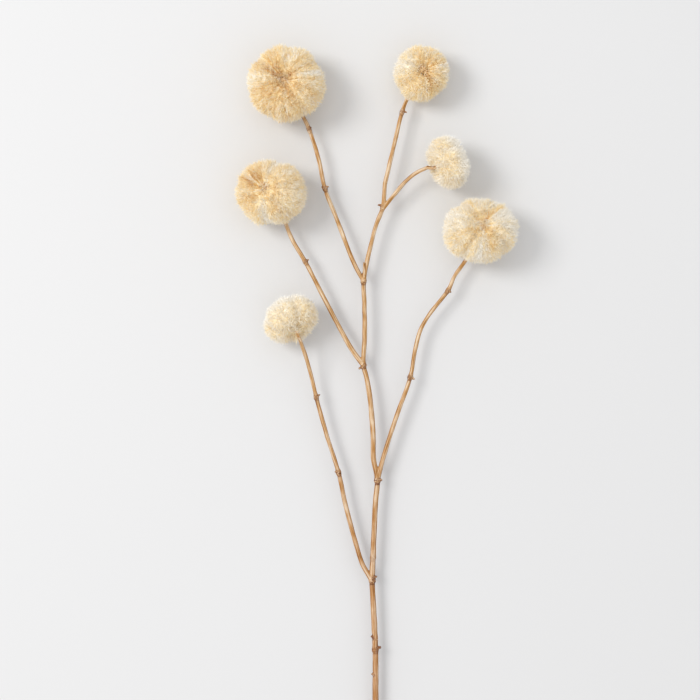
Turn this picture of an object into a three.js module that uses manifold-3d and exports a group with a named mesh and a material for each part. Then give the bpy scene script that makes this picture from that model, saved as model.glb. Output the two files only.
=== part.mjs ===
// Cotton stem: a dried, branched twig that carries six fluffy heads, lying on a flat surface.
// Units are millimetres and +Z is up. The twig runs along +Y, and the surface it lies on is Z = 0.
// Places below are measured from the middle of the twig's cut end. The finished group is shifted at the
// end, so that its origin is the middle of the whole stem's footprint.
import * as THREE from "three";
import { mergeVertices } from "three/addons/utils/BufferGeometryUtils.js";
import Module from "manifold-3d";

const wasm = await Module();
wasm.setup();

// ---- driving dimensions -------------------------------------------------------------------------

const DEGREE = Math.PI / 180;
const GAP = 0.35; // clearance between pieces that touch
const TWIG_SIDES = 7; // facets round the twig
const STUB_SIDES = 5; // facets round a bud or a broken twiglet
const KNOB_SIDES = 9; // facets round a receptacle
const TWIG_STEP = 18; // longest facet along the twig
const TURN_STEP = 0.26; // radians; how far the twig may turn from one ring of facets to the next
const LOOK_STEP = 0.5; // how finely the twig's way is walked to find those turns
const KNOT_REACH = 2.4; // half the length of a swollen joint
const REST_FLAT = 0.8; // how far the fluff under a head is pressed flat by the surface

const LOCK_RELIEF = [0, 0.95, 1]; // height of the groove and of the two ridges that make one lock
const RING_SHARE = 0.45; // the ring that the locks bend round, as a share of the head's radius
const DIMPLE_ANGLE = 0.6; // radians; where the locks meet the head's axis at the front and at the back
const GROOVE_SHARE = 0.15; // depth of the groove between two locks, as a share of the head's radius
const RIM_GROOVE = 0.5; // how much of that depth is left at the rim, where the locks fluff out
const DIMPLE_FLOOR = 0.8; // radius of the small flat where the locks meet
const LOCK_UNEVEN = 1.6; // how much lower the lowest lock may lie than the highest
const NOTCH_WIDTH = 0.15; // radians; half the width of a parting between two clumps of locks
const TIP_RELIEF = 1.3; // how far a fluffy tip stands out at the rim, or is sunk between two of them

const BUTTON_RADIUS = 3.9; // the receptacle's button, which shows in the front dimple
const NECK_RADIUS = 1.9; // the receptacle inside the fluff
const SOCKET_OUTER = 3.1; // the receptacle's cup, which holds the twig's tip
const SOCKET_DEPTH = 3.2;
const TIP_RADIUS = 1.5; // the twig where it enters a receptacle
const MOUTH_SPACE = 1.8; // straight twig behind the cup's mouth
const BEND_RADIUS = 5.5; // of the twig under a head that faces up
const BEND_TURNS = [0, 0.35, 0.7, 1.05]; // radians; points along that bend
const STRAIGHT_ENOUGH = 0.8; // radians; a branch that comes in nearer to the axis than this has no bend

// Each limb of the twig: its radius at both ends, the head at its end, and its way as [x, y, z, swelling].
// A swelling is the height of a knot at that point.
const LIMBS = [
  {
    // the main stem, up to where the branch to head 2 carries on
    radii: [2.9, 1.75],
    way: [
      [0, 0, 2.95],
      [-0.4, 60, 4.8],
      [0.3, 125, 7.2],
      [-0.7, 185, 9],
      [-0.8, 229, 9.6, 0.6],
      [-2.8, 272, 10.5],
      [-3.6, 290, 10.7, 0.9],
      [-2.9, 310, 10.8, 0.35],
      [-0.6, 360, 11.3],
      [0.9, 377, 11.5, 0.9],
      [-2.4, 396, 11.8],
      [-2.6, 413, 12],
      [-5.3, 447, 12.2],
      [-8.4, 467, 12.3],
      [-11.2, 478, 12.5, 0.8],
      [-10.1, 502, 12.8],
      [-10.6, 535, 13],
      [-11.1, 551, 13.3, 0.7],
      [-4.5, 584, 13.6],
      [0.1, 601, 13.8],
      [5.5, 615, 14, 0.4],
      [7.5, 636, 14],
    ],
  },
  {
    radii: [1.9, TIP_RADIUS],
    head: 1,
    way: [
      [-11.1, 551, 13.3],
      [-19.2, 566, 13.2],
      [-34, 604, 13],
      [-44.9, 632, 13, 0.7],
      [-50.5, 658, 13],
      [-58.7, 683.5, 13, 0.5],
      [-63.6, 694, 12.6],
    ],
  },
  {
    radii: [1.8, TIP_RADIUS],
    head: 2,
    way: [
      [7.5, 636, 14],
      [14.8, 667, 14],
      [22.6, 699, 13.4, 0.6],
      [27.2, 711, 11.6],
    ],
  },
  {
    radii: [1.7, TIP_RADIUS],
    head: 3,
    way: [
      [5.5, 614, 14],
      [15.7, 626.5, 15],
      [25, 637.4, 16.5],
      [34, 644.6, 19.5],
      [45, 649.6, 24],
    ],
  },
  {
    radii: [2.0, TIP_RADIUS],
    head: 4,
    way: [
      [0.9, 376, 11.5],
      [4.6, 391.5, 11.6],
      [16.7, 430.5, 12],
      [29.7, 467.5, 12, 0.8],
      [34.3, 493.5, 12.2],
      [39.1, 509.8, 12.4],
      [46.5, 522.4, 12.6],
      [62.6, 543, 13, 0.6],
      [68.1, 555, 13],
      [78, 569.5, 12.8],
    ],
  },
  {
    radii: [2.1, TIP_RADIUS],
    head: 5,
    way: [
      [-11.2, 477.5, 12.5],
      [-21.4, 491.5, 12.8],
      [-41.4, 528, 13],
      [-62, 568, 13, 0.5],
      [-73.7, 588, 13],
      [-80.6, 605.5, 12.4],
    ],
  },
  {
    radii: [2.1, TIP_RADIUS],
    head: 6,
    way: [
      [-3.6, 289, 10.7],
      [-12.3, 304.5, 11],
      [-17.6, 321, 11.2],
      [-27.4, 358, 11.6],
      [-33, 384, 12, 0.7],
      [-43.4, 417, 12.2],
      [-52.5, 450, 13, 0.6],
      [-56.6, 467.5, 14],
      [-60.4, 482, 18],
      [-64.3, 494, 24],
      [-67.7, 503.4, 28.4],
    ],
  },
];

// Buds, leaf scars and broken twiglets: where each starts inside the twig, its direction, length and
// radii at the root and at the end.
const STUBS = [
  { at: [-11.2, 553, 14], along: [0.02, 1, 0.16], long: 15, radii: [1.4, 0.9] },
  { at: [-8.6, 478.5, 12.5], along: [-0.95, -0.55, 0.1], long: 8, radii: [1.8, 1.2] },
  { at: [-0.8, 230, 9.6], along: [1, 0.25, 0.2], long: 5.2, radii: [1.9, 1.4] },
  { at: [-1, 238, 9.7], along: [-0.9, 0.7, 0.2], long: 4.8, radii: [1.6, 0.9] },
  { at: [-0.7, 206, 9.3], along: [-0.95, 0.5, 0.1], long: 4.2, radii: [1.5, 0.9] },
  { at: [0.1, 118, 7], along: [0.8, 0.6, 0.5], long: 4.8, radii: [1.6, 1.1] },
  { at: [-0.4, 66, 5], along: [-0.8, 0.6, 0.5], long: 4.6, radii: [1.6, 1.1] },
  { at: [-3.4, 292, 10.7], along: [0.95, 0.3, 0.3], long: 4.4, radii: [1.6, 1.1] },
  { at: [0.9, 378, 11.5], along: [0.9, -0.1, 0.35], long: 4.4, radii: [1.9, 1.4] },
  { at: [29.7, 467.5, 12], along: [0.9, -0.5, 0.3], long: 4.4, radii: [1.6, 1.1] },
  { at: [62.6, 543, 13], along: [0.75, -0.5, 0.4], long: 3.4, radii: [1.4, 1] },
  { at: [-62, 568, 13], along: [0.85, 0.6, 0.25], long: 3.8, radii: [1.4, 0.9] },
  { at: [-44.9, 632, 13], along: [0.8, 0.45, 0.4], long: 4, radii: [1.5, 1] },
  { at: [-44.9, 632, 13], along: [-0.9, 0.35, 0.2], long: 3.4, radii: [1.4, 0.9] },
  { at: [-58.7, 683.5, 13], along: [0.7, 0.7, 0.5], long: 3.2, radii: [1.3, 0.8] },
  { at: [22.6, 699, 13.4], along: [0.95, -0.15, 0.2], long: 4.2, radii: [1.4, 0.8] },
  { at: [5.5, 617, 14], along: [-0.95, 0.1, 0.1], long: 4.4, radii: [1.5, 1] },
  { at: [-33, 384, 12], along: [-0.85, 0.25, 0.3], long: 3.6, radii: [1.5, 1] },
  { at: [-52.5, 450, 13], along: [0.85, 0.55, 0.2], long: 4.2, radii: [1.5, 0.9] },
];

// Each fluffy head: its middle over the surface, the way its front faces, its radius and thickness, how
// much it is narrowed one way, its number of locks, the facets along a lock, how far back from its middle
// the twig's tip ends, and the partings between its clumps as [degrees round the axis, depth].
const HEADS = [
  {
    at: [-78.3, 721.6],
    facing: [-0.1, 0.06, 1],
    radius: 34.6,
    thick: 53.5,
    narrow: 0.98,
    locks: 20,
    rows: 16,
    tip: 3.4,
    partings: [[33, 4.5], [84, 2.5], [141, 4.5], [196, 2.5], [243, 3], [300, 3]],
  },
  {
    at: [38.9, 731.8],
    facing: [0.13, 0.08, 1],
    radius: 25.4,
    thick: 40.5,
    narrow: 1,
    locks: 16,
    rows: 14,
    tip: 2.2,
    partings: [[82, 3], [152, 2.5], [215, 2.5], [318, 3]],
  },
  {
    at: [61.9, 653.4],
    facing: [0.93, 0.37, -0.24],
    radius: 25.5,
    thick: 31.5,
    narrow: 0.97,
    locks: 16,
    rows: 14,
    tip: 7,
    partings: [[20, 3], [95, 2], [170, 3.5], [262, 2.5]],
  },
  {
    at: [89.9, 594],
    facing: [0.06, 0.3, 1],
    radius: 33.8,
    thick: 50.5,
    narrow: 0.83,
    locks: 18,
    rows: 16,
    tip: 3.2,
    partings: [[66, 5], [128, 3], [237, 4.5], [312, 6], [350, 3]],
  },
  {
    at: [-91.9, 627.4],
    facing: [-0.28, 0.1, 1],
    radius: 32.2,
    thick: 50,
    narrow: 0.91,
    locks: 18,
    rows: 16,
    tip: 3.2,
    partings: [[72, 5.5], [128, 2], [165, 2.5], [214, 2.5], [268, 5]],
  },
  {
    at: [-74.2, 517.5],
    facing: [-0.376, 0.743, -0.55],
    radius: 26,
    thick: 32,
    narrow: 0.98,
    locks: 16,
    rows: 14,
    tip: 7,
    partings: [[75, 4.5], [150, 3], [235, 4], [320, 3]],
  },
];

const BARK = new THREE.MeshStandardMaterial({ color: 0xc69c63, roughness: 0.62, metalness: 0 });
const FLUFF = new THREE.MeshStandardMaterial({ color: 0xe6cfa4, roughness: 1, metalness: 0 });
const BUTTON = new THREE.MeshStandardMaterial({ color: 0xa98352, roughness: 0.8, metalness: 0 });

// ---- solids -------------------------------------------------------------------------------------

/** A closed three.js geometry as a solid that can be joined and cut. */
function solidOf(geometry) {
  const bare = geometry.clone();
  bare.deleteAttribute("normal");
  bare.deleteAttribute("uv");
  const merged = mergeVertices(bare, 1e-4);
  return new wasm.Manifold(
    new wasm.Mesh({
      numProp: 3,
      vertProperties: merged.attributes.position.array,
      triVerts: new Uint32Array(merged.index.array),
    }),
  );
}

/** A solid as a three.js geometry with flat shading. */
function geometryOf(solid) {
  const mesh = solid.getMesh();
  const geometry = new THREE.BufferGeometry();
  geometry.setAttribute("position", new THREE.BufferAttribute(mesh.vertProperties, 3));
  geometry.setIndex(new THREE.BufferAttribute(mesh.triVerts, 1));
  geometry.computeVertexNormals();
  return geometry;
}

/** A named mesh. */
function piece(name, geometry, material) {
  const mesh = new THREE.Mesh(geometry, material);
  mesh.name = name;
  return mesh;
}

/** Seeded random numbers from 0 to 1, the same ones at each run. */
function randomFrom(seed) {
  let state = seed >>> 0;
  return () => {
    state = (state + 0x6d2b79f5) >>> 0;
    let mixed = Math.imul(state ^ (state >>> 15), state | 1);
    mixed ^= mixed + Math.imul(mixed ^ (mixed >>> 7), mixed | 61);
    return ((mixed ^ (mixed >>> 14)) >>> 0) / 2 ** 32;
  };
}

/** A closed surface from rings of points, with a flat cap or a point at each end. */
function skinOf(rings) {
  const sides = rings[0].length;
  const corners = rings.flat().flatMap((point) => point.toArray());
  const faces = [];
  for (let row = 0; row + 1 < rings.length; row++) {
    for (let side = 0; side < sides; side++) {
      const next = (side + 1) % sides;
      const [a, b] = [row * sides + side, row * sides + next];
      const [c, d] = [a + sides, b + sides];
      faces.push(...((row + side) % 2 ? [a, b, d, a, d, c] : [a, b, c, b, d, c]));
    }
  }
  const ends = [rings[0], rings[rings.length - 1]];
  ends.forEach((ring, end) => {
    const middle = ring.reduce((sum, point) => sum.add(point), new THREE.Vector3()).divideScalar(sides);
    const centre = corners.push(...middle.toArray()) / 3 - 1;
    const first = end * (rings.length - 1) * sides;
    for (let side = 0; side < sides; side++) {
      const [a, b] = [first + side, first + ((side + 1) % sides)];
      faces.push(centre, ...(end ? [a, b] : [b, a]));
    }
  });
  const geometry = new THREE.BufferGeometry();
  geometry.setAttribute("position", new THREE.Float32BufferAttribute(corners, 3));
  geometry.setIndex(faces);
  return geometry;
}

// ---- the twig -----------------------------------------------------------------------------------

/** Where the rings of a limb stand: closer together in a bend, and three of them at each knot. */
function stationsOf(curve, length, knots) {
  const stations = [0];
  let heading = curve.getTangentAt(0);
  for (let s = LOOK_STEP; s < length - 1; s += LOOK_STEP) {
    const along = curve.getTangentAt(s / length);
    const since = s - stations.at(-1);
    if (since > TWIG_STEP || (since > 1 && along.angleTo(heading) > TURN_STEP)) {
      stations.push(s);
      heading = along;
    }
  }
  const isFree = (s) => knots.every((knot) => Math.abs(s - knot.at) > 1.6 * KNOT_REACH);
  const round = knots.flatMap((knot) => [knot.at - KNOT_REACH, knot.at, knot.at + KNOT_REACH]);
  return [...stations.filter((s) => s === 0 || isFree(s)), ...round, length].sort((a, b) => a - b);
}

/** A round limb along its way, tapering from one radius to the other and swelling at its knots. */
function limb(way, radii, sides, extra = 0) {
  const points = way.map(([x, y, z]) => new THREE.Vector3(x, y, z));
  const curve = new THREE.CatmullRomCurve3(points, false, "centripetal");
  curve.arcLengthDivisions = 400;
  const length = curve.getLength();
  const lengths = curve.getLengths();
  const knots = way.flatMap(([, , , swelling], index) => {
    const sample = Math.round((index / (way.length - 1)) * curve.arcLengthDivisions);
    return swelling ? [{ at: lengths[sample], swelling }] : [];
  });
  const [base, tip] = radii;
  let across = new THREE.Vector3(0, 0, 1);
  const rings = stationsOf(curve, length, knots).map((s) => {
    const along = curve.getTangentAt(s / length);
    across = across.clone().addScaledVector(along, -across.dot(along)).normalize();
    const other = new THREE.Vector3().crossVectors(along, across);
    const centre = curve.getPointAt(s / length);
    const bump = (knot) => knot.swelling * Math.exp(-(((s - knot.at) / KNOT_REACH) ** 2) * 1.5);
    const swollen = knots.reduce((sum, knot) => sum + bump(knot), 0);
    const radius = THREE.MathUtils.lerp(base, tip, s / length) + swollen + extra;
    return Array.from({ length: sides }, (_, i) => {
      const turn = (2 * Math.PI * (i + 0.5)) / sides;
      return centre
        .clone()
        .addScaledVector(across, radius * Math.cos(turn))
        .addScaledVector(other, radius * Math.sin(turn));
    });
  });
  return solidOf(skinOf(rings));
}

/** A head's middle at the height where it rests on the surface, its front's direction and its turn. */
function placeOf(head) {
  const front = new THREE.Vector3(...head.facing).normalize();
  const turn = new THREE.Quaternion().setFromUnitVectors(new THREE.Vector3(0, 0, 1), front);
  const level = Math.hypot(front.x, front.y);
  const height = Math.hypot(head.radius * level, (head.thick / 2) * front.z) - REST_FLAT;
  return { front, turn, middle: new THREE.Vector3(...head.at, height) };
}

/** The last points of a branch: round a bend where it comes from the side, then up the head's axis. */
function wayIntoHead(head, from) {
  const { front, middle } = placeOf(head);
  const tip = middle.clone().addScaledVector(front, -head.tip);
  const inside = tip.clone().addScaledVector(front, -SOCKET_DEPTH / 2);
  const mouth = tip.clone().addScaledVector(front, -SOCKET_DEPTH - MOUTH_SPACE);
  const coming = mouth.clone().sub(new THREE.Vector3(...from)).normalize();
  const sideways = coming.clone().addScaledVector(front, -coming.dot(front)).normalize();
  const turns = coming.angleTo(front) > STRAIGHT_ENOUGH ? BEND_TURNS : [];
  const bend = turns.map((turn) =>
    mouth
      .clone()
      .addScaledVector(sideways, BEND_RADIUS * (Math.sin(turn) - 1))
      .addScaledVector(front, -BEND_RADIUS * Math.cos(turn)),
  );
  return [...bend, mouth, inside, tip].map((point) => point.toArray());
}

/** The whole way of a limb, with its last points inside the head that it carries. */
function wayOf(one) {
  return one.head ? [...one.way, ...wayIntoHead(HEADS[one.head - 1], one.way.at(-1))] : one.way;
}

/** The whole twig as one grown piece: main stem, branches, knots, buds and broken twiglets. */
function twig() {
  const limbs = LIMBS.map((one) => limb(wayOf(one), one.radii, TWIG_SIDES));
  const stubs = STUBS.map(({ at, along, long, radii }) => {
    const end = new THREE.Vector3(...along).normalize().multiplyScalar(long).add(new THREE.Vector3(...at));
    return limb([at, end.toArray()], radii, STUB_SIDES);
  });
  return geometryOf([...limbs, ...stubs].reduce((whole, part) => whole.add(part)));
}

// ---- the heads ----------------------------------------------------------------------------------

/** How deep the partings between clumps are at a turn round the head's axis. */
function partingAt(turn, partings) {
  return partings.reduce((sum, [degrees, depth]) => {
    const away = Math.atan2(Math.sin(turn - degrees * DEGREE), Math.cos(turn - degrees * DEGREE));
    return sum + depth * Math.exp(-((away / NOTCH_WIDTH) ** 2));
  }, 0);
}

/** The fluff of a head before it is cut: locks raised by a formula round a ring, front dimple to back. */
function fluffOf(head, random) {
  const ridges = LOCK_RELIEF.length;
  const columns = head.locks * ridges;
  const ring = RING_SHARE * head.radius;
  const anyLock = () => ({ aside: 0.6 * (random() - 0.5), lower: LOCK_UNEVEN * random() });
  const locks = Array.from({ length: head.locks }, anyLock);
  const rings = [];
  for (let row = 0; row <= head.rows; row++) {
    const angle = DIMPLE_ANGLE + ((2 * Math.PI - 2 * DIMPLE_ANGLE) * row) / head.rows;
    const open = Math.sin((Math.PI * row) / head.rows) ** 0.6; // no relief where the locks meet
    const rim = (1 - Math.cos(angle)) / 2; // 1 at the rim, and less towards the dimples
    const groove = GROOVE_SHARE * head.radius * (1 - (1 - RIM_GROOVE) * rim);
    rings.push(
      Array.from({ length: columns }, (_, column) => {
        const part = column % ridges;
        const lock = locks[(column - part) / ridges];
        const stands = (row + column) % 2 ? -1 : 0.8; // tips and the dips between them alternate
        const tip = TIP_RELIEF * rim * stands * (0.35 + random());
        const turn = (2 * Math.PI * (column + (part ? lock.aside : 0))) / columns;
        const parting = partingAt(turn, head.partings);
        const sunk = open * (groove * (1 - LOCK_RELIEF[part]) + parting + lock.lower - tip);
        const reach = Math.max(ring - (head.radius - ring - sunk) * Math.cos(angle), DIMPLE_FLOOR);
        return new THREE.Vector3(
          reach * Math.cos(turn),
          reach * Math.sin(turn) * head.narrow,
          (head.thick / 2 - sunk) * Math.sin(angle),
        );
      }),
    );
  }
  return skinOf(rings.reverse());
}

/** Half of the receptacle's outline from its cup up to its button, as [radius, height] on its axis. */
function receptacleOutline(head, extra = 0) {
  const floor = (head.thick / 2) * Math.sin(DIMPLE_ANGLE); // the bottom of the front dimple
  const cup = -head.tip + GAP; // the bottom of the cup, just past the twig's tip
  const low = cup - SOCKET_DEPTH;
  const socket = (TIP_RADIUS + GAP) / Math.cos(Math.PI / KNOB_SIDES); // clear of the tip at its flats too
  const button = BUTTON_RADIUS + extra;
  const outline = [
    [SOCKET_OUTER + extra, low - extra],
    [SOCKET_OUTER - 0.2 + extra, cup + 1.4],
    [NECK_RADIUS + extra, cup + 3],
    [NECK_RADIUS + extra, floor - 1.6 - extra],
    [button - 0.5, floor - 0.6 - extra],
    [button, floor + 0.5],
    [button * 0.72, floor + 2 + extra],
    [0, floor + 2.4 + extra],
  ];
  const inside = extra ? [[0, low - extra]] : [[0, cup], [socket, cup], [socket, low]];
  return [...inside, ...outline].map(([radius, height]) => new THREE.Vector2(radius, height));
}

/** The woody knob that the locks are bound to: a button in front, a neck, and a cup for the twig. */
function receptacle(head, extra = 0) {
  return solidOf(new THREE.LatheGeometry(receptacleOutline(head, extra), KNOB_SIDES).rotateX(Math.PI / 2));
}

/** One head as a group of its two pieces, cut to let the twig and the receptacle in. */
function headGroup(head, number) {
  const { turn, middle } = placeOf(head);
  const group = new THREE.Group();
  group.position.copy(middle);
  group.quaternion.copy(turn);
  group.updateMatrix();

  const toHead = group.matrix.clone().invert();
  const one = LIMBS.find(({ head: carried }) => carried === number);
  const passage = geometryOf(limb(wayOf(one), one.radii, TWIG_SIDES, GAP)).applyMatrix4(toHead);
  const [wide, deep] = [4 * head.radius, head.radius];
  const surface = new THREE.BoxGeometry(wide, wide, deep);
  surface.translate(middle.x, middle.y, -deep / 2).applyMatrix4(toHead);
  const fluff = solidOf(fluffOf(head, randomFrom(40 + number)))
    .subtract(solidOf(passage))
    .subtract(receptacle(head, GAP))
    .subtract(solidOf(surface));

  group.add(piece(`head_${number}_locks`, geometryOf(fluff), FLUFF));
  group.add(piece(`head_${number}_receptacle`, geometryOf(receptacle(head)), BUTTON));
  return group;
}

// ---- the whole stem -----------------------------------------------------------------------------

const lying = new THREE.Group();
lying.add(piece("stem", twig(), BARK));
HEADS.forEach((head, index) => lying.add(headGroup(head, index + 1)));

const stem = new THREE.Group();
stem.add(lying);
stem.updateMatrixWorld(true);
const box = new THREE.Box3().setFromObject(stem, true);
const middle = box.getCenter(new THREE.Vector3());
lying.position.set(-middle.x, -middle.y, 0);

export default stem;
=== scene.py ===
"""The looks of a dried cotton stem: a branched twig with six fluffy heads, lying on a pale surface.

Places and sizes in the tables are in millimetres, measured from the middle of the twig's cut end, as in
the part's own source. Everything that is made in Blender is in metres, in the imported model's frame.
"""

import math
from functools import partial

import bpy
import numpy as np
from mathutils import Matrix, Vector
from mathutils.kdtree import KDTree


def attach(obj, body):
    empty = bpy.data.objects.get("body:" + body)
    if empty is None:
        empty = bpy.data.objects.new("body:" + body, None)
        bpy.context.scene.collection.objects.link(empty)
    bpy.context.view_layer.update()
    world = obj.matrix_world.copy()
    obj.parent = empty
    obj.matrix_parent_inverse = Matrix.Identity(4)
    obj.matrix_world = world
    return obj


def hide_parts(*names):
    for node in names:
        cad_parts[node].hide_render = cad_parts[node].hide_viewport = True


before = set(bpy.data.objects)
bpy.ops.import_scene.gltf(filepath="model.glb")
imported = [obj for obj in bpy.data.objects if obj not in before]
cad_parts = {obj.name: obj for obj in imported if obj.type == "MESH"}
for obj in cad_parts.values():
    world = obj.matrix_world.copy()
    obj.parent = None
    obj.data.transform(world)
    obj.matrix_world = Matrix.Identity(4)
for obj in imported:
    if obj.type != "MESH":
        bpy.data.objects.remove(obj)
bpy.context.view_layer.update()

bl_info = {
    "name": "Dried Cotton Stem",
    "version": (1, 0, 0),
    "blender": (4, 5, 0),
    "location": "View3D > Sidebar > Cotton Stem",
    "description": "Dresses a dried cotton stem with bark, fluffy heads and woody buttons",
    "category": "Add Mesh",
}

MM = 0.001

# ---- the stem's own sizes ------------------------------------------------------------------------

REST_FLAT = 0.8  # how far the fluff under a head is pressed flat by the surface
GAP = 0.35  # clearance between pieces that touch
KNOT_REACH = 2.4  # half the length of a swollen joint
TIP_RADIUS = 1.5  # the twig where it enters a receptacle
SOCKET_DEPTH = 3.2  # of the receptacle's cup
MOUTH_SPACE = 1.8  # straight twig behind the cup's mouth
BEND_RADIUS = 5.5  # of the twig under a head that faces up
BEND_TURNS = (0, 0.35, 0.7, 1.05)  # radians; points along that bend
STRAIGHT_ENOUGH = 0.8  # radians; a branch that comes in nearer to the axis than this has no bend

# Each limb: its radius at both ends, the head it carries, and its way as (x, y, z, swelling).
LIMBS = (
    dict(radii=(2.9, 1.75), head=0, way=(
        (0, 0, 2.95, 0), (-0.4, 60, 4.8, 0), (0.3, 125, 7.2, 0), (-0.7, 185, 9, 0),
        (-0.8, 229, 9.6, 0.6), (-2.8, 272, 10.5, 0), (-3.6, 290, 10.7, 0.9), (-2.9, 310, 10.8, 0.35),
        (-0.6, 360, 11.3, 0), (0.9, 377, 11.5, 0.9), (-2.4, 396, 11.8, 0), (-2.6, 413, 12, 0),
        (-5.3, 447, 12.2, 0), (-8.4, 467, 12.3, 0), (-11.2, 478, 12.5, 0.8), (-10.1, 502, 12.8, 0),
        (-10.6, 535, 13, 0), (-11.1, 551, 13.3, 0.7), (-4.5, 584, 13.6, 0), (0.1, 601, 13.8, 0),
        (5.5, 615, 14, 0.4), (7.5, 636, 14, 0))),
    dict(radii=(1.9, TIP_RADIUS), head=1, way=(
        (-11.1, 551, 13.3, 0), (-19.2, 566, 13.2, 0), (-34, 604, 13, 0), (-44.9, 632, 13, 0.7),
        (-50.5, 658, 13, 0), (-58.7, 683.5, 13, 0.5), (-63.6, 694, 12.6, 0))),
    dict(radii=(1.8, TIP_RADIUS), head=2, way=(
        (7.5, 636, 14, 0), (14.8, 667, 14, 0), (22.6, 699, 13.4, 0.6), (27.2, 711, 11.6, 0))),
    dict(radii=(1.7, TIP_RADIUS), head=3, way=(
        (5.5, 614, 14, 0), (15.7, 626.5, 15, 0), (25, 637.4, 16.5, 0), (34, 644.6, 19.5, 0),
        (45, 649.6, 24, 0))),
    dict(radii=(2.0, TIP_RADIUS), head=4, way=(
        (0.9, 376, 11.5, 0), (4.6, 391.5, 11.6, 0), (16.7, 430.5, 12, 0), (29.7, 467.5, 12, 0.8),
        (34.3, 493.5, 12.2, 0), (39.1, 509.8, 12.4, 0), (46.5, 522.4, 12.6, 0), (62.6, 543, 13, 0.6),
        (68.1, 555, 13, 0), (78, 569.5, 12.8, 0))),
    dict(radii=(2.1, TIP_RADIUS), head=5, way=(
        (-11.2, 477.5, 12.5, 0), (-21.4, 491.5, 12.8, 0), (-41.4, 528, 13, 0), (-62, 568, 13, 0.5),
        (-73.7, 588, 13, 0), (-80.6, 605.5, 12.4, 0))),
    dict(radii=(2.1, TIP_RADIUS), head=6, way=(
        (-3.6, 289, 10.7, 0), (-12.3, 304.5, 11, 0), (-17.6, 321, 11.2, 0), (-27.4, 358, 11.6, 0),
        (-33, 384, 12, 0.7), (-43.4, 417, 12.2, 0), (-52.5, 450, 13, 0.6), (-56.6, 467.5, 14, 0),
        (-60.4, 482, 18, 0), (-64.3, 494, 24, 0), (-67.7, 503.4, 28.4, 0))),
)

# Buds, leaf scars and broken twiglets: start inside the twig, direction, length, radii at both ends.
STUBS = (
    ((-11.2, 553, 14), (0.02, 1, 0.16), 15, (1.4, 0.9)),
    ((-8.6, 478.5, 12.5), (-0.95, -0.55, 0.1), 8, (1.8, 1.2)),
    ((-0.8, 230, 9.6), (1, 0.25, 0.2), 5.2, (1.9, 1.4)),
    ((-1, 238, 9.7), (-0.9, 0.7, 0.2), 4.8, (1.6, 0.9)),
    ((-0.7, 206, 9.3), (-0.95, 0.5, 0.1), 4.2, (1.5, 0.9)),
    ((0.1, 118, 7), (0.8, 0.6, 0.5), 4.8, (1.6, 1.1)),
    ((-0.4, 66, 5), (-0.8, 0.6, 0.5), 4.6, (1.6, 1.1)),
    ((-3.4, 292, 10.7), (0.95, 0.3, 0.3), 4.4, (1.6, 1.1)),
    ((0.9, 378, 11.5), (0.9, -0.1, 0.35), 4.4, (1.9, 1.4)),
    ((29.7, 467.5, 12), (0.9, -0.5, 0.3), 4.4, (1.6, 1.1)),
    ((62.6, 543, 13), (0.75, -0.5, 0.4), 3.4, (1.4, 1)),
    ((-62, 568, 13), (0.85, 0.6, 0.25), 3.8, (1.4, 0.9)),
    ((-44.9, 632, 13), (0.8, 0.45, 0.4), 4, (1.5, 1)),
    ((-44.9, 632, 13), (-0.9, 0.35, 0.2), 3.4, (1.4, 0.9)),
    ((-58.7, 683.5, 13), (0.7, 0.7, 0.5), 3.2, (1.3, 0.8)),
    ((22.6, 699, 13.4), (0.95, -0.15, 0.2), 4.2, (1.4, 0.8)),
    ((5.5, 617, 14), (-0.95, 0.1, 0.1), 4.4, (1.5, 1)),
    ((-33, 384, 12), (-0.85, 0.25, 0.3), 3.6, (1.5, 1)),
    ((-52.5, 450, 13), (0.85, 0.55, 0.2), 4.2, (1.5, 0.9)),
)

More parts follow.
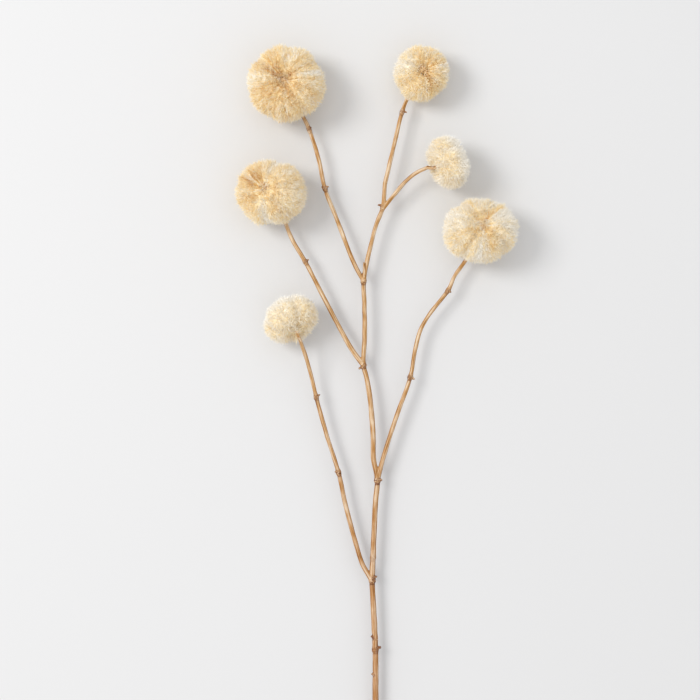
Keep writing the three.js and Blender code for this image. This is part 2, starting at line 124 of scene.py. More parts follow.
# Each head: its middle over the surface, where its front faces, radius, thickness, how much it is
# narrowed one way, its number of locks, how far back from its middle the twig's tip ends, and its
# partings as (degrees round the axis, depth). Then its looks: veils of pale, matted fluff, one of which
# is a painted highlight, and patches where the golden locks show, both as (degrees, half width in
# degrees, strength), how pale the whole head is, how much paler its front half is, how far its dimple is
# shut by fibres that lean over it, how even its fluff is, and how near the twig its fibres close over it.
HEADS = (
    # on the first head, the veil at 174 degrees lies on the side that faces the light and is a painted
    # highlight
    dict(at=(-78.3, 721.6), facing=(-0.1, 0.06, 1), radius=34.6, thick=53.5, narrow=0.98, locks=20,
         tip=3.4, partings=((33, 4.5), (84, 2.5), (141, 4.5), (196, 2.5), (243, 3), (300, 3)),
         veils=((12, 9, 0.75), (20, 45, 0.1), (174, 12, 0.65), (68, 9, 0.5), (325, 25, 0.2)),
         gold=((135, 60, 0.75), (250, 45, 0.5), (350, 40, 0.4)),
         pale=0.01, front=0, shut=0.5, even=0, hides=0),
    dict(at=(38.9, 731.8), facing=(0.13, 0.08, 1), radius=25.4, thick=40.5, narrow=1, locks=16,
         tip=2.2, partings=((82, 3), (152, 2.5), (215, 2.5), (318, 3)),
         veils=((165, 30, 0.7), (0, 25, 0.3)), gold=((60, 60, 0.7), (285, 60, 0.5)),
         pale=0.03, front=0, shut=0.6, even=0.3, hides=0),
    dict(at=(61.9, 653.4), facing=(0.93, 0.37, -0.24), radius=25.5, thick=31.5, narrow=0.97, locks=16,
         tip=7, partings=((20, 3), (95, 2), (170, 3.5), (262, 2.5)),
         veils=((0, 360, 0.3),), gold=(),
         pale=0.06, front=0.22, shut=0.4, even=0.8, hides=4.5),
    dict(at=(89.9, 594), facing=(0.06, 0.3, 1), radius=33.8, thick=50.5, narrow=0.83, locks=18,
         tip=3.2, partings=((66, 5), (128, 3), (237, 4.5), (312, 6), (350, 3)),
         veils=((25, 14, 1.0), (352, 11, 0.8), (170, 28, 0.5), (265, 9, 0.5)),
         gold=((265, 45, 0.5), (52, 18, 0.8)),
         pale=0.14, front=0, shut=0.75, even=0.2, hides=0),
    dict(at=(-91.9, 627.4), facing=(-0.28, 0.1, 1), radius=32.2, thick=50, narrow=0.91, locks=18,
         tip=3.2, partings=((72, 5.5), (128, 2), (165, 2.5), (214, 2.5), (268, 5)),
         veils=((268, 10, 1.0), (74, 9, 0.9), (-10, 60, 0.3)), gold=((130, 50, 1.0), (215, 30, 0.4)),
         pale=0.02, front=0, shut=1.0, even=0.1, hides=0),
    dict(at=(-74.2, 517.5), facing=(-0.376, 0.743, -0.55), radius=26, thick=32, narrow=0.98, locks=16,
         tip=7, partings=((75, 4.5), (150, 3), (235, 4), (320, 3)),
         veils=((0, 360, 0.3),), gold=(),
         pale=0.05, front=0.17, shut=0.4, even=0.8, hides=8),
)

RING_SHARE = 0.45  # the ring that the locks bend round, as a share of the head's radius
DIMPLE_ANGLE = 0.6  # radians; where the locks meet the head's axis at the front and at the back
GROOVE_SHARE = 0.15  # depth of the groove between two locks, as a share of the head's radius
RIM_GROOVE = 0.5  # how much of that depth is left at the rim
DIMPLE_FLOOR = 0.8  # radius of the small flat where the locks meet
LOCK_UNEVEN = 1.6  # how much lower the lowest lock may lie than the highest
NOTCH_WIDTH = 0.15  # radians; half the width of a parting between two clumps of locks
OPEN_GROOVE = 0.18  # how much of a groove's depth the loose fibres leave open
OPEN_PARTING = 0.75  # how much of a parting's depth they leave open
FACE_SUNK = 1.5  # how far the roots of the fibres lie below the outline of a head's two faces

BUTTON_RADIUS = 3.9  # the receptacle's button, which shows in the front dimple
NECK_RADIUS = 1.9
SOCKET_OUTER = 3.1


def cut_end():
    """The middle of the twig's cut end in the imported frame, in millimetres."""
    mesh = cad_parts["stem"].data
    corners = np.zeros(len(mesh.vertices) * 3)
    mesh.vertices.foreach_get("co", corners)
    # a corner that several faces share counts once, and the end's corners lie within 1 mm of the lowest
    corners = np.unique(np.round(corners.reshape(-1, 3) / MM, 4), axis=0)
    ring = corners[corners[:, 1] < corners[:, 1].min() + 1]
    return np.array([ring[:, 0].mean(), ring[:, 1].mean(), 0.0])


ORIGIN = cut_end()


# ---- numbers and meshes --------------------------------------------------------------------------


def unit(vectors):
    """Vectors made one long."""
    vectors = np.asarray(vectors, float)
    return vectors / np.maximum(np.linalg.norm(vectors, axis=-1, keepdims=True), 1e-9)


def bell(away, width):
    """1 at no distance, falling off softly to both sides."""
    return np.exp(-((away / width) ** 2))


def turns_round(count):
    """As many angles round an axis, evenly spaced."""
    return 2 * np.pi * np.arange(count) / count


def smooth_noise(points, cell, seed=0):
    """Soft random values from -1 to 1 at points, with features about one cell wide."""
    spots = np.asarray(points, float) / cell
    low = np.floor(spots).astype(np.int64)
    part = spots - low
    part = part * part * (3 - 2 * part)
    total = np.zeros(len(spots))
    for corner in np.ndindex(2, 2, 2):
        i, j, k = (low + corner).T
        mixed = (i * 73856093 ^ j * 19349663 ^ k * 83492791 ^ (seed + 1) * 2654435761) & 0xFFFFFFFF
        mixed = ((mixed ^ (mixed >> 13)) * 1274126177) & 0xFFFFFFFF
        mixed = ((mixed ^ (mixed >> 15)) * 2246822519) & 0xFFFFFFFF
        value = ((mixed ^ (mixed >> 16)) & 0xFFFF) / 32767.5 - 1
        weight = np.prod(np.where(np.array(corner), part, 1 - part), axis=1)
        total += value * weight
    return total


def randoms(seed):
    """Seeded random numbers from 0 to 1 by the part's own rule, so that both make the same locks."""
    def wrapped(a, b):
        return (a * b) & 0xFFFFFFFF

    state = seed
    while True:
        state = (state + 0x6D2B79F5) & 0xFFFFFFFF
        mixed = wrapped(state ^ (state >> 15), state | 1)
        mixed ^= (mixed + wrapped(mixed ^ (mixed >> 7), mixed | 61)) & 0xFFFFFFFF
        yield ((mixed ^ (mixed >> 14)) & 0xFFFFFFFF) / 2**32


def nearest_of(places, points):
    """The number of the place that lies nearest to each point."""
    tree = KDTree(len(places))
    for index, place in enumerate(places):
        tree.insert(place, index)
    tree.balance()
    return np.array([tree.find(point)[1] for point in points])


def linear(code):
    """An sRGB hex colour as linear RGBA."""
    parts = [int(code[i:i + 2], 16) / 255 for i in (1, 3, 5)]
    return tuple(c / 12.92 if c < 0.04045 else ((c + 0.055) / 1.055) ** 2.4 for c in parts) + (1.0,)


def add_object(name, mesh, material, nodes=(), slot=None, smooth=True):
    """A finished piece in the scene; when given a slot, it rides on the stem and stands for its CAD
    nodes, which are hidden.
    """
    mesh.polygons.foreach_set("use_smooth", [smooth] * len(mesh.polygons))
    mesh.materials.clear()
    mesh.materials.append(material)
    piece = bpy.data.objects.new(name, mesh)
    bpy.context.scene.collection.objects.link(piece)
    if slot:
        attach(piece, "root")
        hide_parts(*nodes)
    return piece


def add_numbers(mesh, **numbers):
    """Numbers or vectors at a mesh's points, under the names that its material reads."""
    for key, values in numbers.items():
        values = np.asarray(values, np.float32)
        kind, field = ("FLOAT", "value") if values.ndim == 1 else ("FLOAT_VECTOR", "vector")
        mesh.attributes.new(key, kind, "POINT").data.foreach_set(field, values.ravel())


def new_mesh(name, corners, faces, **numbers):
    """A mesh from corners in millimetres in the cut end's frame, with numbers for its material.

    The faces are arrays, each of faces that have the same number of corners.
    """
    loops = np.concatenate([np.ravel(some) for some in faces]).astype(np.int32)
    sizes = np.concatenate([np.full(np.size(some) // np.shape(some)[-1], np.shape(some)[-1])
                            for some in faces]).astype(np.int32)
    mesh = bpy.data.meshes.new(name)
    mesh.vertices.add(len(corners))
    mesh.vertices.foreach_set("co", ((corners + ORIGIN) * MM).astype(np.float32).ravel())
    mesh.loops.add(len(loops))
    mesh.loops.foreach_set("vertex_index", loops)
    mesh.polygons.add(len(sizes))
    mesh.polygons.foreach_set("loop_start", np.r_[0, np.cumsum(sizes)[:-1]].astype(np.int32))
    mesh.polygons.foreach_set("loop_total", sizes)
    mesh.update(calc_edges=True)
    add_numbers(mesh, **numbers)
    return mesh


def tube_faces(rings, sides, first=0):
    """The faces of a closed tube of rings of corners, with one corner in the middle of each end."""
    side = np.arange(sides)
    after = (side + 1) % sides
    row = first + np.arange(rings - 1)[:, None] * sides
    last = first + (rings - 1) * sides
    start = np.full(sides, first + rings * sides)
    quads = np.stack([row + side, row + after, row + after + sides, row + side + sides], axis=-1)
    caps = [np.stack([start, first + after, first + side], axis=-1),
            np.stack([start + 1, last + side, last + after], axis=-1)]
    return [quads.reshape(-1, 4), np.stack(caps, axis=1).reshape(-1, 3)]


# ---- the twig ------------------------------------------------------------------------------------

PER_SPAN = 24  # samples between two points of a branch's way
TWIG_STEP = 1.4  # along the twig between two rings
TWIG_SIDES = 18
OVALNESS = 0.06  # how far the twig bulges and flattens, as a share of its radius
STUB_SLIM = 0.75  # how thick a bud or a broken twiglet is against its plain solid
TWIGLET_SLIM = 0.8  # the long broken twiglet is slimmer still
TWIGLET_LENGTH = 10  # a stub longer than this is a twiglet
FAR_OFF = 99  # stands for no joint on a limb
SCAR_PLACE = 3.2  # a dark ring under each joint, where the joint's older bark ends
SMOOTHING = (0.5, -0.52) * 7  # steps towards the neighbours and back, which don't thin the twig
LIMB_APART = 60  # along the grain, so that no two limbs have the same pattern

# The bark's relief: how far all of it is lifted, and how far each of its forms rises or sinks from there.
SKIN, WRINKLE, CRACK, LUMP, WART, GNARL, SCAR = 0.1, 0.075, 0.11, 0.12, 0.35, 0.4, 0.2


def place_of(head):
    """A head's middle where it rests on the surface, and the turn from its own axes to the stem's."""
    front = Vector(head["facing"]).normalized()
    turn = Vector((0, 0, 1)).rotation_difference(front).to_matrix()
    level = math.hypot(front.x, front.y)
    height = math.hypot(head["radius"] * level, head["thick"] / 2 * front.z) - REST_FLAT
    return np.array([*head["at"], height]), np.array(turn), np.array(front)


def way_into_head(head, start):
    """The last points of a branch: round a bend where it comes from the side, then up the head's axis."""
    middle, _, front = place_of(head)
    tip = middle - front * head["tip"]
    inside = tip - front * SOCKET_DEPTH / 2
    mouth = tip - front * (SOCKET_DEPTH + MOUTH_SPACE)
    coming = unit(mouth - np.array(start, float))
    sideways = unit(coming - front * coming.dot(front))
    turned = math.acos(max(-1, min(1, float(coming.dot(front)))))
    bend = [
        mouth + sideways * BEND_RADIUS * (math.sin(turn) - 1) - front * BEND_RADIUS * math.cos(turn)
        for turn in (BEND_TURNS if turned > STRAIGHT_ENOUGH else ())
    ]
    return [*bend, mouth, inside, tip]


def way_of(limb):
    """All the points of a limb's way, up to its tip inside a head."""
    way = [point[:3] for point in limb["way"]]
    return way + (way_into_head(HEADS[limb["head"] - 1], way[-1]) if limb["head"] else [])


def curve_through(points, per_span=PER_SPAN):
    """A smooth centripetal curve through points, as many samples on it."""
    points = [np.array(p, float) for p in points]
    points = [2 * points[0] - points[1], *points, 2 * points[-1] - points[-2]]
    samples = []
    for before, start, end, after in zip(points, points[1:], points[2:], points[3:]):
        a, b, c = (max(np.linalg.norm(q - p) ** 0.5, 1e-4) for p, q in
                   ((before, start), (start, end), (end, after)))
        leave = ((start - before) / a - (end - before) / (a + b) + (end - start) / b) * b
        reach = ((end - start) / b - (after - start) / (b + c) + (after - end) / c) * b
        for t in np.arange(per_span) / per_span:
            samples.append(
                start * (2 * t**3 - 3 * t**2 + 1) + leave * (t**3 - 2 * t**2 + t)
                + end * (3 * t**2 - 2 * t**3) + reach * (t**3 - t**2)
            )
    return np.array([*samples, points[-2]])


def limb_lines():
    """Every limb and stub as evenly spaced rings.

    Each ring has its middle, its direction, two axes across, its radius, how far along it lies, how far
    past the nearest swollen joint that is, and how swollen that joint is.
    """
    ways = []
    for limb in LIMBS:
        knots = [(i, point[3]) for i, point in enumerate(limb["way"]) if point[3]]
        ways.append((way_of(limb), limb["radii"], knots))
    for start, along, long, radii in STUBS:
        slim = [STUB_SLIM * radius * (TWIGLET_SLIM if long > TWIGLET_LENGTH else 1) for radius in radii]
        ways.append(([start, np.array(start, float) + unit(along) * long], slim, []))

    lines = []
    for way, radii, knots in ways:
        dense = curve_through(way)
        steps = np.r_[0, np.cumsum(np.linalg.norm(np.diff(dense, axis=0), axis=1))]
        count = max(5, int(steps[-1] / TWIG_STEP))
        at = np.linspace(0, steps[-1], count)
        middle = np.stack([np.interp(at, steps, dense[:, axis]) for axis in range(3)], axis=1)
        along = unit(np.gradient(middle, axis=0))
        across = np.zeros_like(middle)
        carried = np.array([0.0, 0.0, 1.0])
        for i, direction in enumerate(along):
            carried = unit(carried - direction * carried.dot(direction))
            across[i] = carried
        radius = np.interp(at, [0, steps[-1]], radii)
        past = np.array([at - steps[index * PER_SPAN] for index, _ in knots] or [at + FAR_OFF])
        nearest = np.abs(past).argmin(0)
        for index, swelling in knots:
            away = (at - steps[index * PER_SPAN]) / KNOT_REACH
            radius += swelling * np.exp(-1.5 * away**2)
        lines.append(dict(middle=middle, along=along, across=across,
                          other=np.cross(along, across), radius=radius, at=at,
                          past=past[nearest, np.arange(count)],
                          knot=np.array([swelling for _, swelling in knots] or [0])[nearest]))
    return lines


def grown_together(lines, voxel):
    """One skin over tubes along every limb and stub."""
    corners, faces = [], []
    turns = turns_round(TWIG_SIDES)
    first = 0
    for number, line in enumerate(lines):
        radial = (line["across"][:, None] * np.cos(turns)[None, :, None]
                  + line["other"][:, None] * np.sin(turns)[None, :, None])
        # the twig isn't quite round: it bulges and flattens slowly along its length
        spots = line["middle"][:, None] + radial * 3 + 50 * number
        uneven = 1 + OVALNESS * smooth_noise(spots.reshape(-1, 3), 7, 3).reshape(spots.shape[:2])
        rings = line["middle"][:, None] + radial * (line["radius"][:, None] * uneven)[..., None]
        corners += [rings.reshape(-1, 3), line["middle"][:1], line["middle"][-1:]]
        faces += tube_faces(len(rings), TWIG_SIDES, first)
        first += rings.shape[0] * TWIG_SIDES + 2
    rough = new_mesh("twig_tubes", np.concatenate(corners), faces)
    holder = bpy.data.objects.new("twig_tubes", rough)
    bpy.context.scene.collection.objects.link(holder)
    remesh = holder.modifiers.new("grow together", "REMESH")
    remesh.mode = "VOXEL"
    remesh.voxel_size = voxel
    view = bpy.context.evaluated_depsgraph_get()
    mesh = bpy.data.meshes.new_from_object(holder.evaluated_get(view))
    bpy.data.objects.remove(holder)
    bpy.data.meshes.remove(rough)
    return mesh


def smoothed_points(mesh):
    """A mesh's points in millimetres in the cut end's frame, smoothed without thinning."""
    points = np.zeros(len(mesh.vertices) * 3)
    mesh.vertices.foreach_get("co", points)
    points = points.reshape(-1, 3) / MM - ORIGIN
    edges = np.zeros(len(mesh.edges) * 2, np.int32)
    mesh.edges.foreach_get("vertices", edges)
    a, b = edges.reshape(-1, 2).T
    near = np.bincount(a, minlength=len(points)) + np.bincount(b, minlength=len(points))
    for strength in SMOOTHING:
        pull = np.stack([
            np.bincount(a, points[b, axis], len(points)) + np.bincount(b, points[a, axis], len(points))
            for axis in range(3)
        ], axis=1) / near[:, None] - points
        points = points + strength * pull
    return points


def twig_mesh(voxel):
    """The whole twig as one skin, grown together at its joints, with the relief of its bark."""
    lines = limb_lines()
    mesh = grown_together(lines, voxel)
    points = smoothed_points(mesh)

    # the nearest place on a limb's middle line gives the grain's direction and the bark's relief
    flat = {key: np.concatenate([line[key] for line in lines]) for key in lines[0]}
    flat["owner"] = np.concatenate([np.full(len(line["at"]), n) for n, line in enumerate(lines)])
    nearest = nearest_of(flat["middle"], points)
    line = {key: values[nearest] for key, values in flat.items()}
    off = points - line["middle"]
    along = (off * line["along"]).sum(1)
    x, y = (off * line["across"]).sum(1), (off * line["other"]).sum(1)
    reach = np.maximum(np.hypot(x, y), 0.2)
    grain = np.stack([x, y, line["at"] + along + LIMB_APART * line["owner"]], axis=1)
    outward = unit(off - along[:, None] * line["along"])

    wrinkle = smooth_noise(grain * (1, 1, 0.09), 0.75, 5)
    ridge = np.abs(smooth_noise(grain * (1, 1, 0.05), 1.5, 6))
    lump = smooth_noise(grain * (0.7, 0.7, 0.35), 2.4, 7)
    wart = np.clip(smooth_noise(grain * (1, 1, 0.8), 1.1, 8) - 0.62, 0, 1)
    past = line["past"] + along
    knot = np.clip(1.3 * line["knot"] - 0.2, 0, 1)
    gnarled = knot * bell(past + 0.8, 2.8)
    scar = knot * bell(past + SCAR_PLACE + 0.5 * lump, 0.65)
    # the swell is also handed on as the relief, which paints shade into the bark's sunk creases and light
    # onto its rises
    swell = (SKIN + WRINKLE * wrinkle - CRACK * np.clip(0.5 - ridge, 0, 1) + LUMP * lump + WART * wart
             + GNARL * gnarled * smooth_noise(grain, 1.3, 9) - SCAR * scar)
    # 0 on the sawn end of the first limb and 1 on bark
    barked = np.where(line["owner"] == 0, np.clip((line["at"] + along - 0.7) / 0.8, 0, 1), 1.0)
    points = points + outward * (swell * barked * np.clip(reach / 1.2, 0, 1))[:, None]
    # all stubs but the first, the long twiglet, are as rough as a joint
    is_bud = line["owner"] > len(LIMBS)

    mesh.vertices.foreach_set("co", ((points + ORIGIN) * MM).astype(np.float32).ravel())
    mesh.update()
    # how far each point faces up is handed on for painted light on the twig's upper side and painted
    # shade on its sides and underside
    add_numbers(mesh, grain=grain, relief=swell / 0.2 - 0.5, joint=np.maximum(gnarled, 0.6 * is_bud),
                scar=scar, bare=1 - barked, bleached=x / reach)
    return mesh


# ---- the heads -----------------------------------------------------------------------------------

GROOVE_WIDTH = 0.17  # half the width of a groove, as a share of its lock's width
MIDDLE_TONE = 0.56  # of the fluff, between amber at 0 and white at 1
DIMPLE_REACH = 0.55  # radians; how far up the locks the look of the front dimple goes
CORE_INSET = 3.3  # how deep the matted core lies under the outline
CORE_FLOOR = 0.45  # how far it stays over the surface
CORE_TUFTS, CORE_RIBS = 0.7, 0.45  # how far its tufts and its ribs rise and sink
CORE_COLUMN = 0.62  # the width of a column of its facets at the rim
CORE_ROWS = 0.36  # rows along the locks for each column round a head
BUTTON_RISE = 1.9  # how far the button bulges over the floor of the dimple
KNOB_SIDES, KNOB_STEP = 36, 0.45  # of the receptacle: corners round it, and the way between two rings
PIT_DEPTH = 0.22


def rim_share(angle):
    """0 on a head's axis, in front and behind, and 1 at its rim."""
    return (1 - np.cos(angle)) / 2


def bump(turn, degrees, half_width):
    """1 at a turn round the axis, falling off softly to both sides."""
    away = np.angle(np.exp(1j * (turn - math.radians(degrees))))
    return bell(away, math.radians(half_width))


class HeadShape:
    """A head's surface of locks, which run from the front dimple over the rim to the back dimple.

    An angle is a place along a lock: 0 on the axis in front, pi at the rim, and two pi behind.
    """

    def __init__(self, number):
        self.number, self.head = number, HEADS[number - 1]
        self.middle, self.turned, _ = place_of(self.head)
        values = randoms(40 + number)
        # the part's own rule draws a lean before each lock's lowness, which isn't used here
        self.lower = np.array([(next(values), LOCK_UNEVEN * next(values))[1]
                               for _ in range(self.head["locks"])])

    def at(self, angle, turn, inset=0.0):
        """Points of the surface in the head's own axes, or inset below it."""
        head = self.head
        radius, ring = head["radius"], RING_SHARE * head["radius"]
        row = (angle - DIMPLE_ANGLE) / (2 * np.pi - 2 * DIMPLE_ANGLE)
        opened = np.sin(np.pi * np.clip(row, 0, 1)) ** 0.6
        rim = rim_share(angle)
        place = (turn / (2 * np.pi)) % 1 * head["locks"]
        across, lock = place % 1, np.floor(place).astype(int) % head["locks"]
        blend = np.clip((across - 0.8) / 0.2, 0, 1)
        lower = self.lower[lock] * (1 - blend) + self.lower[(lock + 1) % head["locks"]] * blend
        parting = sum(depth * bump(turn, degrees, math.degrees(NOTCH_WIDTH))
                      for degrees, depth in head["partings"])
        depth = GROOVE_SHARE * radius * (1 - (1 - RIM_GROOVE) * rim)
        groove = bell(np.minimum(across, 1 - across), GROOVE_WIDTH)
        sunk = opened * (OPEN_GROOVE * depth * groove
                         + OPEN_PARTING * parting * (0.2 + 0.8 * rim) + lower) + inset
        reach = np.maximum(ring - (radius - ring - sunk) * np.cos(angle), DIMPLE_FLOOR * 0.5)
        return np.stack([
            reach * np.cos(turn),
            reach * np.sin(turn) * head["narrow"],
            (head["thick"] / 2 - FACE_SUNK - sunk) * np.sin(angle),
        ], axis=-1)

    def steps_at(self, angle, turn, step=0.01):
        """How the surface runs at a place: along the locks, and round the head."""
        return (self.at(angle + step, turn) - self.at(angle - step, turn),
                self.at(angle, turn + step) - self.at(angle, turn - step))

    def directions(self, angle, turn):
        """The outward normal, and the way along the surface from a dimple towards the rim."""
        down, round_axis = self.steps_at(angle, turn)
        normal = unit(np.cross(down, round_axis))
        return normal, unit(down) * np.where(angle < np.pi, 1, -1)[..., None]

    def to_stem(self, points):
        """Points from the head's own axes to the cut end's frame, resting on the surface."""
        return points @ self.turned.T + self.middle

    def twig(self):
        """Points along the branch near the head, in the cut end's frame."""
        limb = next(limb for limb in LIMBS if limb["head"] == self.number)
        way = curve_through(way_of(limb), per_span=8)
        return way[np.linalg.norm(way - self.middle, axis=1) < self.head["radius"]]

    def by_dimple(self, angle):
        """1 at the front dimple, falling off softly up the locks round it."""
        return bell(angle - DIMPLE_ANGLE, DIMPLE_REACH)

    def looks(self, angle, turn):
        """How much pale veil and how much bare golden lock there is at a place, each from 0 to 1."""
        veil, gold = (sum((strength * bump(turn, degrees, half_width)
                           for degrees, half_width, strength in self.head[key]), np.zeros_like(turn))
                      for key in ("veils", "gold"))
        inner = np.clip((1.25 * np.pi - angle) / (0.6 * np.pi), 0, 1)  # golden in front, not at the back
        return np.clip(veil, 0, 1), np.clip(gold, 0, 1) * inner

    def tone(self, angle, turn):
        """How pale the fluff is, from 0, amber, to 1, white, with streaks down the locks."""
        veil, gold = self.looks(angle, turn)
        rim = rim_share(angle)
        unveiled = 1 - 0.6 * veil

        def streak(fineness, length, seed):
            spots = np.stack([np.cos(turn) * fineness, np.sin(turn) * fineness, angle / length], axis=-1)
            return smooth_noise(spots.reshape(-1, 3) + 30, 1, seed).reshape(np.shape(turn))

        bands = np.clip(0.5 + 2 * streak(8, 3, 35), 0, 1)
        lines = bell(streak(6, 2.2, 31), 0.1) + 0.8 * bell(streak(13, 1.5, 32), 0.12)
        front = self.head["front"] * np.clip((3.1 - angle) / 0.7, 0, 1)
        return (MIDDLE_TONE + self.head["pale"] + front + veil * (0.22 + 0.08 * rim)
                + 0.08 * streak(17, 0.7, 33) - 0.5 * (bands - 0.35) * gold * unveiled
                - lines * (0.14 + 0.15 * gold + 0.08 * (1 - rim)) * unveiled
                - (0.08 + 0.38 * bands) * self.by_dimple(angle) * (1 - 0.5 * veil))


def core_mesh(shape, rows, columns):
    """The matted fluff under the fibres: one closed skin, ribbed by strands that run along the locks."""
    number, radius = shape.number, shape.head["radius"]
    angle = np.linspace(DIMPLE_ANGLE, 2 * np.pi - DIMPLE_ANGLE, rows)[:, None] + np.zeros(columns)
    turn = np.zeros(rows)[:, None] + np.linspace(0, 2 * np.pi, columns, endpoint=False)
    normal, _ = shape.directions(angle, turn)
    flat = shape.at(angle, turn, CORE_INSET).reshape(-1, 3)
    tuft = smooth_noise(flat + 90 * number, 2.6, 11) + 0.5 * smooth_noise(flat, 1.2, 12)
    # strands about 1.2 mm wide and 8 mm long, which cross each other a little
    slanted = turn + 0.25 * smooth_noise(flat + 70 * number, 9, 13).reshape(turn.shape)
    ribbed = np.stack([np.cos(slanted) * radius, np.sin(slanted) * radius, angle * 3.2], axis=-1)
    ribs = 1 - 2 * np.abs(smooth_noise(ribbed.reshape(-1, 3) + 40 * number, 1.3, 14))
    height = (CORE_TUFTS * tuft + CORE_RIBS * ribs) * (0.25 + 0.75 * rim_share(angle).ravel())
    corners = shape.to_stem(flat + normal.reshape(-1, 3) * height[:, None])
    corners[:, 2] = np.maximum(corners[:, 2], CORE_FLOOR)
    ends = np.stack([corners[:columns].mean(0), corners[-columns:].mean(0)])
    # painted shade and light: the core's tone follows its tufts and ribs, paler where they rise and
    # darker where they sink, and it lies a little under the fluff's own tone
    tone = shape.tone(angle, turn).ravel() + 0.06 * tuft + 0.07 * ribs - 0.12
    return new_mesh(f"head_{number}_core", np.concatenate([corners, ends]), tube_faces(rows, columns),
                    tone=np.clip(np.r_[tone, 0.2, 0.3], 0, 1))


# The two layers of fibres: where along a fibre its rings and its tip stand, how many share a tuft, how
# strongly a tuft draws them together, root radius against the setting, length, how deep they start, how
# wildly they point, how much they curl, the share of long stray ones, and how much paler they are.
LAYERS = {
    "tufts": dict(stops=(0.0, 0.33, 0.66, 0.88, 1.0), shared=8, clump=0.5, radius=1.0, length=1.0,
                  depth=4.2, wild=0.16, curl=0.55, stray=0.0, paler=-0.03, seed=700),
    "fibres": dict(stops=(0.0, 0.4, 0.78, 1.0), shared=12, clump=0.25, radius=0.42, length=1.12,
                   depth=3.7, wild=0.34, curl=0.75, stray=0.06, paler=0.06, seed=800),
}
FIBRE_SIDES = 3
FIBRE_TAPER = 0.62  # how much thinner a fibre is at its tip, as a share of its root
FIBRE_FLOOR = 0.12  # fibres that would go through the surface stay once to twice this far over it
STANDING, LYING = 4.4, 3.6  # how long a fibre is that stands out, and how much longer one that lies
LARGE_HEAD = 34  # radius; the fibres of smaller heads are a little shorter
BOW = 0.16  # how far a fibre bows to a side, as a share of its length
TWIST = (2.2, 6.0)  # radians by which a fibre's curl turns along it, least and most
TUFT_LEAN = 0.42  # how far a tuft leans to any side
TUFT_TALL = (0.8, 1.15)  # its height against the mean one, least and most
GOLDEN_TUFTS, GOLDEN_FIBRES = 0.2, 0.14  # the shares of them that have golden tips
OVER_TWIG = 3.5  # how far over the twig's middle the fibres that close over it meet
LEAN_IN = -0.7  # how strongly fibres in a dimple lean over it, against 1 for out along the locks
BEHIND_LEAN = 0.9  # the share of the fibres in the back dimple that leans in round the twig
BEHIND_LONG = 1.4  # how much longer they all are there
TONE_SPREAD = 0.08  # how much the tone varies from tuft to tuft, and from fibre to fibre

# How fibres are shared out: among so many places along the locks and round the head, fewer on fluff that
# lies lower than a height, where it rests, and more round the front dimple.
SHARED_ROWS, SHARED_COLUMNS = 90, 240
RESTING_HEIGHT, RESTING_SHARE = 2, 0.45
FRONT_MORE, FRONT_ANGLE, FRONT_WIDTH = 0.35, 0.9, 0.5


def places_on(shape, amount, random):
    """Places on a head, as many for each bit of area, more round the dimple and fewer where it rests."""
    rows, columns = SHARED_ROWS, SHARED_COLUMNS
    edges = np.linspace(DIMPLE_ANGLE, 2 * np.pi - DIMPLE_ANGLE, rows + 1)
    turns = (np.arange(columns) + 0.5) * 2 * np.pi / columns
    angle, turn = np.meshgrid((edges[:-1] + edges[1:]) / 2, turns, indexing="ij")
    area = np.linalg.norm(np.cross(*shape.steps_at(angle, turn)), axis=-1)
    height = shape.to_stem(shape.at(angle, turn))[..., 2]
    more = 1 + FRONT_MORE * bell(angle - FRONT_ANGLE, FRONT_WIDTH)
    area *= np.where(height < RESTING_HEIGHT, RESTING_SHARE, 1) * more
    chance = np.cumsum(area.ravel()) / area.sum()
    # evenly stepped draws keep the cover even
    picks = np.searchsorted(chance, (np.arange(amount) + random.random(amount)) / amount)
    row, column = np.unravel_index(np.minimum(picks, rows * columns - 1), (rows, columns))
    return (edges[row] + (edges[1] - edges[0]) * random.random(amount),
            (column + random.random(amount)) * 2 * np.pi / columns)


def closed_over_twig(shape, angle, root, way, length, random):
    """The fibres' ways and lengths, with those beside the twig at the back turned to close over it."""
    twig = shape.twig()
    start = shape.to_stem(root)
    apart = np.linalg.norm(start[:, None] - twig, axis=2)
    closing = (apart.min(1) < shape.head["hides"]) & (angle > np.pi)
    over_twig = twig[apart.argmin(1)] + (0, 0, OVER_TWIG) - start
    turned = unit(unit(over_twig @ shape.turned) + 0.35 * way)
    closed = np.linalg.norm(over_twig, axis=1) * random.uniform(0.9, 1.5, len(length)) + 1.5
    return np.where(closing[:, None], turned, way), np.where(closing, closed, length)


def tapering_rings(middles, radius, shares, random):
    """Three corners round each place along a fibre, and its tip last."""
    count, ringed = len(middles), len(shares) - 1
    heading = unit(np.gradient(middles, axis=1))
    across = unit(np.cross(heading, np.cross(random.normal(0, 1, (count, 1, 3)), heading)))
    over = np.cross(heading, across)
    turns = turns_round(FIBRE_SIDES)[:, None]
    width = (radius[:, None] * (1 - FIBRE_TAPER * shares**1.2)[:ringed])[..., None, None]
    rings = middles[:, :ringed, None] + width * (
        across[:, :ringed, None] * np.cos(turns) + over[:, :ringed, None] * np.sin(turns))
    return np.concatenate([rings.reshape(count, -1, 3), middles[:, -1:]], axis=1)


